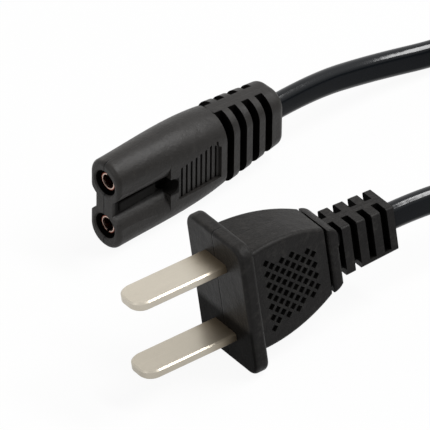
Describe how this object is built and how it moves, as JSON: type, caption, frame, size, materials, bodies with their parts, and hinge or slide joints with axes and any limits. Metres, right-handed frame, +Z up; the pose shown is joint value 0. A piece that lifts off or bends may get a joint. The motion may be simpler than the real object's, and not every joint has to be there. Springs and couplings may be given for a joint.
{
  "type": "laptop power cord",
  "caption": "Flat black mains lead with a figure-eight connector and a flat-blade plug, the spare cord coiled and tied.",
  "frame": {"origin": "bottom centre of the box round the plug and the connector, on the surface they stand on", "axes": "+X from the two ends towards the cord, +Y from the plug towards the connector, +Z up"},
  "size_m": [0.1476, 0.0677, 0.0236],
  "materials": {
    "moulding": "satin, finely textured PVC",
    "inner_moulding": "plain",
    "cord": "glossy flexible PVC",
    "core": "PVC insulation",
    "conductor": "stranded copper, drawn as a solid wire",
    "blade": "satin nickel plating",
    "contact": "rolled bronze strip",
    "tie": "soft hook-and-loop strip"
  },
  "bodies": {
    "root": {"plug_body": "moulding", "connector_body": "moulding", "plug_blade_upper": "blade", "plug_blade_lower": "blade", "plug_bridge": "inner_moulding", "connector_insert": "inner_moulding", "plug_conductor_upper": "conductor", "plug_conductor_lower": "conductor", "connector_conductor_upper": "conductor", "connector_conductor_lower": "conductor", "plug_core_upper": "core", "plug_core_lower": "core", "connector_core_upper": "core", "connector_core_lower": "core", "plug_sheath_end": "cord", "connector_sheath_end": "cord", "connector_contact_upper": "contact", "connector_contact_lower": "contact", "cord_connector_end": "cord", "cord_plug_end": "cord", "cord_coil": "cord", "cord_tie": "tie"}
  },
  "joints": []
}
